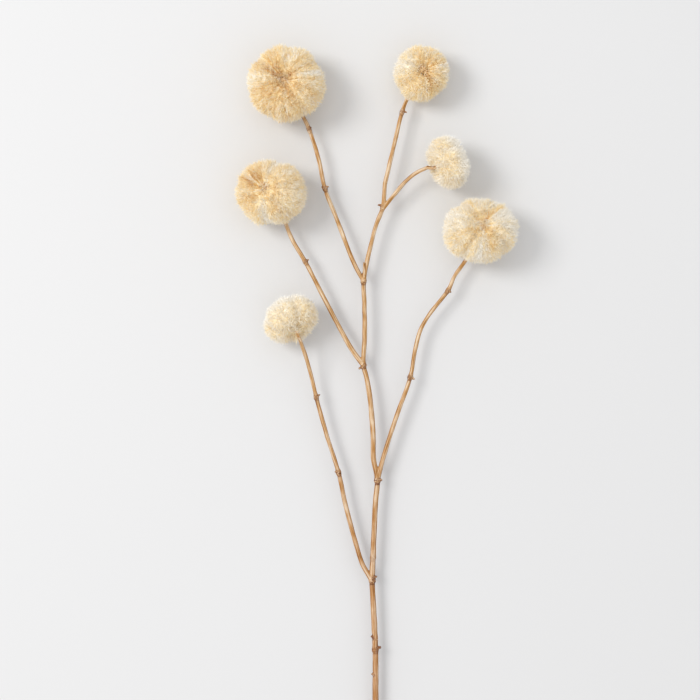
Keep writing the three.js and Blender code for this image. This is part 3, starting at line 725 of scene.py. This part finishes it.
def fibre_mesh(shape, kind, count, thickness):
    """One layer of a head's fluff: tapering, curled fibres in tufts, each a closed tube from the core."""
    head, layer, number = shape.head, LAYERS[kind], shape.number
    random = np.random.default_rng(layer["seed"] + number)

    tufts = count // layer["shared"]
    tuft_at = shape.at(*places_on(shape, tufts, random))
    angle, turn = places_on(shape, count, random)
    tuft = nearest_of(tuft_at, shape.at(angle, turn))
    rim = rim_share(angle)
    veil, gold = shape.looks(angle, turn)
    normal, outward = shape.directions(angle, turn)
    matted = veil * (0.35 + 0.65 * rim)

    uneven = 1 - head["even"]
    tuft_lean = random.normal(0, TUFT_LEAN, (tufts, 3))
    tuft_tall = random.uniform(*TUFT_TALL, tufts) ** uneven
    tuft_tall *= 1 + 0.2 * uneven * smooth_noise(tuft_at + 60 * number, 7, 41)
    tuft_tone = random.normal(0, TONE_SPREAD * uneven, tufts)
    tuft_gold = (random.random(tufts) < GOLDEN_TUFTS).astype(float)
    tuft_phase = random.uniform(0, 2 * np.pi, tufts)

    # near the dimple the fibres lie along the locks, and at the rim they stand out from them
    is_stray = random.random(count) < layer["stray"] * (1 + matted)
    lying = np.clip(1 - rim, 0, 1) ** 1.1 * (1 - 0.6 * matted)
    combed = 1 - 0.75 * np.maximum(gold, shape.by_dimple(angle)) * (1 - rim) ** 0.5
    wild = layer["wild"] * (0.6 + 0.9 * rim + matted) * combed + 0.4 * is_stray
    # some lean in over the button, and most round the twig at the back, where they are longer
    in_dimple = np.abs(angle - np.pi) > np.pi - 1.1
    behind = in_dimple & (angle > np.pi)
    leans_in = in_dimple & (random.random(count) < np.where(behind, BEHIND_LEAN, head["shut"]))
    lying = np.where(leans_in, LEAN_IN, lying)
    way = unit(normal * (0.3 + 0.9 * rim)[:, None] + outward * (1.1 * lying)[:, None]
               + tuft_lean[tuft] * ((0.35 + 0.65 * rim) * combed)[:, None]
               + random.normal(0, 1, (count, 3)) * wild[:, None])
    depth = layer["depth"] * (0.8 + 0.6 * random.random(count))
    root = shape.at(angle, turn, depth)
    length = layer["length"] * (STANDING + LYING * np.abs(lying)) * tuft_tall[tuft]
    length *= random.uniform(0.75, 1.2, count)
    by_size = 0.3 * head["radius"] / LARGE_HEAD + 0.7
    length *= np.where(is_stray, random.uniform(1.05, 1.35, count), 1) * by_size
    length *= np.where(behind, BEHIND_LONG, 1)
    way, length = closed_over_twig(shape, angle, root, way, length, random)

    side = unit(np.cross(way, random.normal(0, 1, (count, 3))))
    other = np.cross(way, side)
    bow = random.normal(0, BOW, count) + 0.05
    curl = layer["curl"] * (0.4 + random.random(count)) * (0.4 + 0.9 * rim + 0.6 * matted)
    phase = tuft_phase[tuft] + random.normal(0, 0.8, count)
    twist = random.uniform(*TWIST, count)
    tuft_way = np.zeros((tufts, 3))
    np.add.at(tuft_way, tuft, way)
    tuft_way = unit(tuft_way)
    clump = np.where(is_stray, 0.0, layer["clump"] * (1 - 0.6 * matted) * (0.4 + 0.6 * uneven))

    shares = np.array(layer["stops"])
    middles = []
    for share in shares:
        swing = (curl * share**1.3)[:, None]
        turned = (phase + twist * share)[:, None]
        free = (root + way * (length * share)[:, None] + side * (bow * length * share**2)[:, None]
                + swing * (side * np.cos(turned) + other * np.sin(turned)))
        drawn_to = tuft_at[tuft] + tuft_way[tuft] * (length * share - depth)[:, None]
        pull = (clump * share**1.5)[:, None]
        middles.append(shape.to_stem(free * (1 - pull) + drawn_to * pull))
    middles = np.stack(middles, axis=1)
    radius = thickness * layer["radius"] * random.uniform(0.75, 1.3, count)
    radius *= np.where(is_stray, 0.6, 1.0)
    floor = FIBRE_FLOOR + radius[:, None]
    lifted = floor + FIBRE_FLOOR * random.random(middles.shape[:2])
    middles[..., 2] = np.where(middles[..., 2] < floor, lifted, middles[..., 2])
    corners = tapering_rings(middles, radius, shares, random)

    share = np.r_[np.repeat(shares[:-1], FIBRE_SIDES), 1.0]
    is_golden = random.random(count) < GOLDEN_FIBRES * (1 - 0.5 * matted)
    golden_tip = np.maximum(tuft_gold[tuft] * (0.4 + 0.6 * rim) * (1 - 0.6 * matted), is_golden)
    own_tone = tuft_tone[tuft] + random.normal(0, TONE_SPREAD * uneven, count)
    own_tone = shape.tone(angle, turn) + layer["paler"] + own_tone * combed + 0.2 * is_stray
    tone = own_tone[:, None] - 0.1 * (1 - share) + 0.12 * share
    tone -= 0.3 * uneven * golden_tip[:, None] * share
    return strands(f"head_{number}_{kind}", corners, np.clip(tone, 0, 1))


def strands(name, corners, tone):
    """A mesh of many closed tubes: rings of three corners and a tip, with a cap at each root.

    Each tube has a cell of its own in a UV map, for whoever paints or bakes them.
    """
    count, each = corners.shape[:2]
    ringed = each // FIBRE_SIDES
    last, rows = (ringed - 1) * FIBRE_SIDES, ringed + 1
    quads, quad_places, triangles, triangle_places = [], [], [], []
    for row in range(ringed):
        low, high = row / rows, (row + 1) / rows
        for side in range(FIBRE_SIDES):
            after = (side + 1) % FIBRE_SIDES
            left, right = side / FIBRE_SIDES, (side + 1) / FIBRE_SIDES
            if row < ringed - 1:
                a, b = row * FIBRE_SIDES + side, row * FIBRE_SIDES + after
                quads.append((a, b, b + FIBRE_SIDES, a + FIBRE_SIDES))
                quad_places += [(left, low), (right, low), (right, high), (left, high)]
            else:
                triangles.append((last + side, last + after, each - 1))
                triangle_places += [(left, low), (right, low), ((side + 0.5) / FIBRE_SIDES, high)]
    triangles.append((2, 1, 0))
    triangle_places += [(1.0, 1.0), (0.5, high + 0.02), (0.0, 1.0)]

    starts = (np.arange(count) * each)[:, None, None]
    faces = [np.array(some) + starts for some in (quads, triangles)]
    mesh = new_mesh(name, corners.reshape(-1, 3), faces, tone=tone.ravel())
    grid = math.ceil(math.sqrt(count))
    cell = np.stack([np.arange(count) % grid, np.arange(count) // grid], axis=1)[:, None] + 0.06
    places = np.concatenate([((cell + 0.88 * np.array(some)[None]) / grid).reshape(-1, 2)
                             for some in (quad_places, triangle_places)])
    mesh.uv_layers.new(name="OFBake").data.foreach_set("uv", places.astype(np.float32).ravel())
    return mesh


def receptacle_mesh(shape):
    """The woody knob in a head's middle: a pitted button in front, a neck, and a cup round the twig."""
    head, number = shape.head, shape.number
    floor = head["thick"] / 2 * math.sin(DIMPLE_ANGLE)
    cup = -head["tip"] + GAP
    low = cup - SOCKET_DEPTH
    socket = TIP_RADIUS + GAP
    top = floor + BUTTON_RISE
    outline = np.array([
        (0, cup), (socket, cup), (socket, low), (SOCKET_OUTER, low), (SOCKET_OUTER - 0.2, cup + 1.4),
        (NECK_RADIUS, cup + 3), (NECK_RADIUS, floor - 1.6), (BUTTON_RADIUS - 0.5, floor - 0.6),
        (BUTTON_RADIUS, floor + 0.4), (BUTTON_RADIUS * 0.8, floor + 1.2),
        (BUTTON_RADIUS * 0.55, floor + 1.7), (BUTTON_RADIUS * 0.25, top), (0, top)])
    steps = np.r_[0, np.cumsum(np.linalg.norm(np.diff(outline, axis=0), axis=1))]
    at = np.unique(np.r_[np.arange(0, steps[-1], KNOB_STEP), steps])[1:-1]
    radius, height = (np.interp(at, steps, outline[:, axis]) for axis in range(2))
    turns = turns_round(KNOB_SIDES)
    rings = np.stack([
        radius[:, None] * np.cos(turns), radius[:, None] * np.sin(turns), height[:, None] + 0 * turns,
    ], axis=-1)
    flat = rings.reshape(-1, 3)
    shown = np.repeat(np.clip((height - floor + 1) / 1.5, 0, 1), KNOB_SIDES)
    pits = smooth_noise(flat + 20 * number, 1.0, 21) + 0.6 * smooth_noise(flat, 0.5, 22)
    outside = unit(flat * (1, 1, 0)) + (0, 0, 0.6) * shown[:, None]
    flat = flat + outside * (PIT_DEPTH * pits * (0.15 + 0.85 * shown))[:, None]
    ends = np.array([(0, 0, cup), (0, 0, top)])
    return new_mesh(f"head_{number}_receptacle_wood", shape.to_stem(np.concatenate([flat, ends])),
                    tube_faces(len(rings), KNOB_SIDES), pit=np.r_[pits, 0, 0])


# ---- materials -----------------------------------------------------------------------------------

PLANT_IOR = 1.5  # of wood, plant fibre and dry paint alike
MIX_FROM, MIX_TO, MIXED = 6, 7, 2  # a mix node's colour sockets, which share their names with others


def add_node(tree, kind, inputs, out=0, stops=(), **settings):
    """One node with its settings, a value or a feeding socket for each input, and a ramp's stops.

    It gives back one of the node's outputs.
    """
    node = tree.nodes.new("ShaderNode" + kind)
    for name, value in settings.items():
        setattr(node, name, value)
    for key, value in inputs.items():
        if isinstance(value, bpy.types.NodeSocket):
            tree.links.new(value, node.inputs[key])
        else:
            node.inputs[key].default_value = value
    for index, (place, colour) in enumerate(stops):
        elements = node.color_ramp.elements
        element = elements[index] if index < 2 else elements.new(place)
        element.position, element.color = place, colour
    return node.outputs[out] if node.outputs else None


def new_material(name):
    """An empty node material, and what adds a node to it."""
    material = bpy.data.materials.new(name)
    material.use_nodes = True
    material.node_tree.nodes.clear()
    return material, partial(add_node, material.node_tree)


def dried_bark(settings):
    """Dried, peeled twig: satin tan wood, streaked along the grain and darker in its joints, with painted
    shade in its creases, on its sides and underneath, and painted light on its rises and its top.
    """
    material, node = new_material("dried_twig_bark")
    grain = node("Attribute", {}, "Vector", attribute_name="grain")
    relief, joint, scar, bare, bleached = (
        node("Attribute", {}, "Fac", attribute_name=name)
        for name in ("relief", "joint", "scar", "bare", "bleached"))
    # grain streaks 0.8 mm wide and about 20 mm long
    stretched = node("Mapping", {"Vector": grain, "Scale": (1.2, 1.2, 0.05)})
    streaks = node("TexNoise", {"Vector": stretched, "Scale": 1.0, "Detail": 4.0, "Roughness": 0.6})
    # blotches of 10 to 15 mm, as bark that dried unevenly
    blotches = node("TexNoise", {"Vector": grain, "Scale": 0.08, "Detail": 2.0})
    tone = node("Math", {0: streaks, 1: 1.8, 2: -0.62}, operation="MULTIPLY_ADD")
    # painted shade and light: the relief paints the bark's sunk creases darker and its raised lumps and
    # warts lighter
    for pattern, share in ((blotches, 0.5), (relief, 0.15)):
        tone = node("Math", {0: pattern, 1: share, 2: tone}, operation="MULTIPLY_ADD")
    # painted light and shade: the side that faces up is painted lighter, and the sides and the underside
    # darker
    facing = node("MapRange", {"Value": bleached, "From Max": 0.85, "To Min": -0.3, "To Max": 0.12})
    tone = node("Math", {0: tone, 1: facing}, operation="ADD")
    colour = node("ValToRGB", {"Fac": tone}, stops=(
        (0.12, settings.bark_dark), (0.48, settings.bark_middle), (0.95, settings.bark_light)))
    # the lower, older wood is darker and browner
    place = node("TexCoord", {}, "Object")
    up_the_stem = node("SeparateXYZ", {0: place}, "Y")
    age = node("MapRange", {
        "Value": up_the_stem, "From Min": -0.37, "From Max": 0.12, "To Min": 0.75, "To Max": 0.0})
    colour = node("Mix", {0: age, MIX_FROM: colour, MIX_TO: linear("#D0A078")}, MIXED,
                  data_type="RGBA", blend_type="MULTIPLY")
    # rough brown scars at the joints, in patches of 1 to 2 mm
    patches = node("TexNoise", {"Vector": grain, "Scale": 0.6, "Detail": 2.0})
    patches = node("MapRange", {
        "Value": patches, "From Min": 0.4, "From Max": 0.55, "To Min": 0.25, "To Max": 1.25})
    gnarled = node("Math", {0: joint, 1: patches}, operation="MULTIPLY")
    knotted = node("Math", {0: gnarled, 1: scar}, operation="MAXIMUM")
    colour = node("Mix", {0: knotted, MIX_FROM: colour, MIX_TO: linear("#8C5A30")}, MIXED,
                  data_type="RGBA", blend_type="MULTIPLY")
    # the sawn end: pale wood round a brown pith, a little darker towards the bark
    across = node("VectorMath", {0: grain, 1: (1.0, 1.0, 0.0)}, operation="MULTIPLY")
    from_pith = node("VectorMath", {0: across}, "Value", operation="LENGTH")
    from_pith = node("Math", {0: from_pith, 1: 0.36}, operation="MULTIPLY")
    wood = node("ValToRGB", {"Fac": from_pith}, stops=(
        (0.1, linear("#7A5333")), (0.22, linear("#E2C79B")), (1.0, linear("#B88F5E"))))
    colour = node("Mix", {0: bare, MIX_FROM: colour, MIX_TO: wood}, MIXED, data_type="RGBA")
    bumped = node("Bump", {"Height": streaks, "Strength": 0.35, "Distance": 0.0001})
    rough = node("MapRange", {"Value": streaks, "To Min": 0.34, "To Max": 0.56})
    shader = node("BsdfPrincipled", {"Base Color": colour, "Normal": bumped, "Roughness": rough,
                                     "IOR": PLANT_IOR, "Specular IOR Level": 0.4})
    node("OutputMaterial", {"Surface": shader})
    return material


def cotton(settings, name):
    """Dried cotton-like plant fibre, teased: matt, cream at the tips and amber down in the locks."""
    material, node = new_material(name)
    tone = node("Attribute", {}, "Fac", attribute_name="tone")
    place = node("TexCoord", {}, "Object")
    # mats and stains of about 3 mm
    mats = node("TexNoise", {"Vector": place, "Scale": 330.0, "Detail": 3.0, "Roughness": 0.6})
    shift = node("MapRange", {"Value": mats, "To Min": -0.1, "To Max": 0.1})
    total = node("Math", {0: tone, 1: shift}, operation="ADD", use_clamp=True)
    colour = node("ValToRGB", {"Fac": total}, stops=(
        (0.0, settings.amber), (0.25, settings.gold), (0.52, settings.straw), (0.78, settings.cream),
        (1.0, settings.white)))
    shader = node("BsdfPrincipled", {"Base Color": colour, "Roughness": 0.95,
                                     "IOR": PLANT_IOR, "Specular IOR Level": 0.12, "Sheen Weight": 0.25,
                                     "Sheen Roughness": 0.6, "Sheen Tint": linear("#FFF6E6")})
    node("OutputMaterial", {"Surface": shader})
    return material


def dried_calyx():
    """Dried, woody flower base: matt, pitted and tan, with painted shade that browns its pits and painted
    light that pales its rises.
    """
    material, node = new_material("dried_flower_base")
    pit = node("Attribute", {}, "Fac", attribute_name="pit")
    place = node("TexCoord", {}, "Object")
    # grit of about 0.5 mm
    grit = node("TexNoise", {"Vector": place, "Scale": 2000.0, "Detail": 3.0})
    # painted shade and light: the height of the pits picks the colour, brown down in them and pale on the
    # rises
    height = node("Math", {0: pit, 1: 0.3, 2: grit}, operation="MULTIPLY_ADD")
    colour = node("ValToRGB", {"Fac": height}, stops=(
        (0.3, linear("#8A6238")), (0.5, linear("#CDA572")), (0.85, linear("#F2DEBB"))))
    bumped = node("Bump", {"Height": grit, "Strength": 0.5, "Distance": 0.0002})
    shader = node("BsdfPrincipled", {"Base Color": colour, "Normal": bumped, "Roughness": 0.85,
                                     "IOR": PLANT_IOR, "Specular IOR Level": 0.25})
    node("OutputMaterial", {"Surface": shader})
    return material


def matt_board(settings):
    """Matt painted board: an even off-white with the faintest mottling, so it doesn't look computed."""
    material, node = new_material("matt_painted_board")
    place = node("TexCoord", {}, "Object")
    # mottles of about a third of a metre
    mottling = node("TexNoise", {"Vector": place, "Scale": 3.0, "Detail": 2.0})
    dark = tuple(0.985 * c for c in settings.board[:3]) + (1.0,)
    colour = node("Mix", {0: mottling, MIX_FROM: dark, MIX_TO: settings.board}, MIXED, data_type="RGBA")
    shader = node("BsdfPrincipled", {"Base Color": colour, "Roughness": 0.9,
                                     "IOR": PLANT_IOR, "Specular IOR Level": 0.2})
    node("OutputMaterial", {"Surface": shader})
    return material


# ---- the add-on ----------------------------------------------------------------------------------

# The stage is in metres, like everything in Blender.
PHOTO_PIXELS = 700  # across the photo
PIXEL = 0.00088  # on the board for one of them
LOOKED_AT = (-0.023, 0.491, 0)  # the middle of the view on the board, from the cut end
SENSOR = 36  # across the camera's film, in millimetres as every camera has it
BOARD_HALF = 6.0  # half the board's width
WINDOW_FROM = (-1.9, 0.8, 2.3)  # the window's middle, from the middle of the view
WINDOW_SIZE = 1.2
WARM_WHITE = (1.0, 0.995, 0.985)
SKY = "#FDFDFE"
BOUNCES = 12  # pale fluff is bright because light goes on from fibre to fibre


def colour_setting(name, description, code):
    """A colour that a user can change."""
    return bpy.props.FloatVectorProperty(name=name, description=description, size=4, subtype="COLOR",
                                         min=0, max=1, default=linear(code))


def length_setting(name, description, default, low, high):
    """A length that a user can change."""
    return bpy.props.FloatProperty(name=name, description=description, default=default, min=low, max=high,
                                   precision=5, unit="LENGTH", subtype="DISTANCE")


class TwigSettings(bpy.types.PropertyGroup):
    """Sizes and colours of the twig."""

    voxel: length_setting("Skin detail", "Width of the smallest facet of the bark", 0.00055,
                          0.0003, 0.002)
    bark_dark: colour_setting("Bark, creases", "Bark in its creases", "#80511E")
    bark_middle: colour_setting("Bark", "Most of the bark", "#B88544")
    bark_light: colour_setting("Bark, ridges", "Bark on its ridges", "#E5D2B5")


class FluffSettings(bpy.types.PropertyGroup):
    """Sizes and colours of the fluffy heads."""

    tufted: bpy.props.FloatProperty(
        name="Thick fibres", description="Thick fibres on each square centimetre of a head", default=62,
        min=5, max=90)
    loose: bpy.props.FloatProperty(
        name="Thin fibres", description="Thin fibres on each square centimetre of a head", default=95,
        min=5, max=120)
    thickness: length_setting("Fibre radius", "Radius of a thick fibre's root", 0.0004, 0.00005, 0.001)
    amber: colour_setting("Amber", "Deepest in the locks", "#DDB677")
    gold: colour_setting("Gold", "Bare locks and stained tips", "#F3DFAD")
    straw: colour_setting("Straw", "Most of the fluff", "#F8EBCA")
    cream: colour_setting("Cream", "Tips of the fluff", "#F5F1E8")
    white: colour_setting("White", "Loose wisps and pale veils", "#F9F7F2")


class StageSettings(bpy.types.PropertyGroup):
    """The surface the stem lies on, the light and the camera."""

    board: colour_setting("Board", "The surface the stem lies on", "#DCDCDC")
    camera_height: length_setting("Camera height", "Height of the camera over the surface", 1.6, 0.5, 5)
    key: bpy.props.FloatProperty(
        name="Key light", description="Power of the soft light from the left", default=46.0, min=0,
        unit="POWER")
    fill: bpy.props.FloatProperty(
        name="Fill light", description="Brightness of the room", default=0.87, min=0)


class COTTON_OT_twig(bpy.types.Operator):
    """Grow the branched twig with its joints, buds and bark"""

    bl_idname = "cotton.twig"
    bl_label = "Twig"

    def execute(self, context):
        settings = context.scene.cotton_twig
        mesh = twig_mesh(settings.voxel)
        mesh.name = "twig"
        add_object("twig", mesh, dried_bark(settings), ("stem",), "bark")
        return {"FINISHED"}


class COTTON_OT_receptacles(bpy.types.Operator):
    """Turn the woody receptacle inside each head, with its button in the dimple"""

    bl_idname = "cotton.receptacles"
    bl_label = "Receptacles"

    def execute(self, context):
        material = dried_calyx()
        for number in range(1, len(HEADS) + 1):
            mesh = receptacle_mesh(HeadShape(number))
            add_object(mesh.name, mesh, material, (f"head_{number}_receptacle",), "receptacle")
        return {"FINISHED"}


class COTTON_OT_cores(bpy.types.Operator):
    """Lay the matted locks of fluff of each head"""

    bl_idname = "cotton.cores"
    bl_label = "Fluff, matted locks"

    def execute(self, context):
        material = cotton(context.scene.cotton_fluff, "matted_plant_fibre")
        for number, head in enumerate(HEADS, start=1):
            columns = int(2 * math.pi * head["radius"] / CORE_COLUMN)
            mesh = core_mesh(HeadShape(number), int(columns * CORE_ROWS), columns)
            add_object(mesh.name, mesh, material, (f"head_{number}_locks",), "fluff")
        return {"FINISHED"}


class COTTON_OT_fibres(bpy.types.Operator):
    """Tease the tufts and the loose fibres out of each head's locks"""

    bl_idname = "cotton.fibres"
    bl_label = "Fluff, tufts and loose fibres"

    def execute(self, context):
        settings = context.scene.cotton_fluff
        material = cotton(settings, "teased_plant_fibre")
        for number, head in enumerate(HEADS, start=1):
            area = 4 * math.pi * head["radius"] * (head["radius"] + head["thick"]) / 3 / 100
            for kind, density in (("tufts", settings.tufted), ("fibres", settings.loose)):
                mesh = fibre_mesh(HeadShape(number), kind, int(density * area), settings.thickness / MM)
                # flat faces, because smoothed ones lose light on such thin fibres
                add_object(mesh.name, mesh, material, (f"head_{number}_locks",), "fluff", smooth=False)
        return {"FINISHED"}


class COTTON_OT_stage(bpy.types.Operator):
    """Set the board, the soft light from the left and the camera that looks straight down"""

    bl_idname = "cotton.stage"
    bl_label = "Board, light and camera"

    def execute(self, context):
        scene = context.scene
        settings = scene.cotton_stage
        mesh = bpy.data.meshes.new("board")
        mesh.from_pydata([(-BOARD_HALF, -BOARD_HALF, 0), (BOARD_HALF, -BOARD_HALF, 0),
                          (BOARD_HALF, BOARD_HALF, 0), (-BOARD_HALF, BOARD_HALF, 0)], [], [(0, 1, 2, 3)])
        board = add_object("board", mesh, matt_board(settings))

        middle = Vector(ORIGIN * MM + LOOKED_AT)
        camera = bpy.data.cameras.new("camera")
        camera.sensor_width = SENSOR
        camera.lens = camera.sensor_width * settings.camera_height / (PHOTO_PIXELS * PIXEL)
        camera.clip_start, camera.clip_end = 0.01, 50
        viewer = bpy.data.objects.new("camera", camera)
        viewer.location = middle + Vector((0, 0, settings.camera_height))
        scene.collection.objects.link(viewer)
        scene.camera = viewer

        lamp = bpy.data.lights.new("window", "AREA")
        lamp.shape, lamp.size, lamp.size_y = "RECTANGLE", WINDOW_SIZE, WINDOW_SIZE
        lamp.energy, lamp.color = settings.key, WARM_WHITE
        window = bpy.data.objects.new("window", lamp)
        window.location = middle + Vector(WINDOW_FROM)
        window.rotation_euler = (middle - window.location).to_track_quat("-Z", "Y").to_euler()
        scene.collection.objects.link(window)

        world = bpy.data.worlds.new("room")
        world.use_nodes = True
        world.node_tree.nodes.clear()
        sky = add_node(world.node_tree, "Background", {"Color": linear(SKY), "Strength": settings.fill})
        add_node(world.node_tree, "OutputWorld", {"Surface": sky})
        scene.world = world
        scene.view_settings.view_transform = "Standard"
        scene.cycles.diffuse_bounces = BOUNCES
        return {"FINISHED"}


class COTTON_PT_stem(bpy.types.Panel):
    """The steps that dress the stem, and what each can be given"""

    bl_label = "Cotton Stem"
    bl_idname = "COTTON_PT_stem"
    bl_space_type = "VIEW_3D"
    bl_region_type = "UI"
    bl_category = "Cotton Stem"

    def draw(self, context):
        scene = context.scene
        for settings, steps in (
            (scene.cotton_twig, (COTTON_OT_twig,)),
            (scene.cotton_fluff, (COTTON_OT_receptacles, COTTON_OT_cores, COTTON_OT_fibres)),
            (scene.cotton_stage, (COTTON_OT_stage,)),
        ):
            box = self.layout.box()
            for name in settings.__annotations__:
                box.prop(settings, name)
            for step in steps:
                box.operator(step.bl_idname)


CLASSES = (
    TwigSettings,
    FluffSettings,
    StageSettings,
    COTTON_OT_twig,
    COTTON_OT_receptacles,
    COTTON_OT_cores,
    COTTON_OT_fibres,
    COTTON_OT_stage,
    COTTON_PT_stem,
)


def register():
    """Add the steps, their settings and the panel to Blender."""
    for one in CLASSES:
        bpy.utils.register_class(one)
    bpy.types.Scene.cotton_twig = bpy.props.PointerProperty(type=TwigSettings)
    bpy.types.Scene.cotton_fluff = bpy.props.PointerProperty(type=FluffSettings)
    bpy.types.Scene.cotton_stage = bpy.props.PointerProperty(type=StageSettings)


def unregister():
    """Take them out again."""
    del bpy.types.Scene.cotton_twig, bpy.types.Scene.cotton_fluff, bpy.types.Scene.cotton_stage
    for one in reversed(CLASSES):
        bpy.utils.unregister_class(one)


def main():
    """Dress the stem step by step."""
    register()
    bpy.ops.cotton.stage()
    bpy.ops.cotton.twig()
    bpy.ops.cotton.receptacles()
    bpy.ops.cotton.cores()
    bpy.ops.cotton.fibres()


if __name__ == "__main__":
    main()
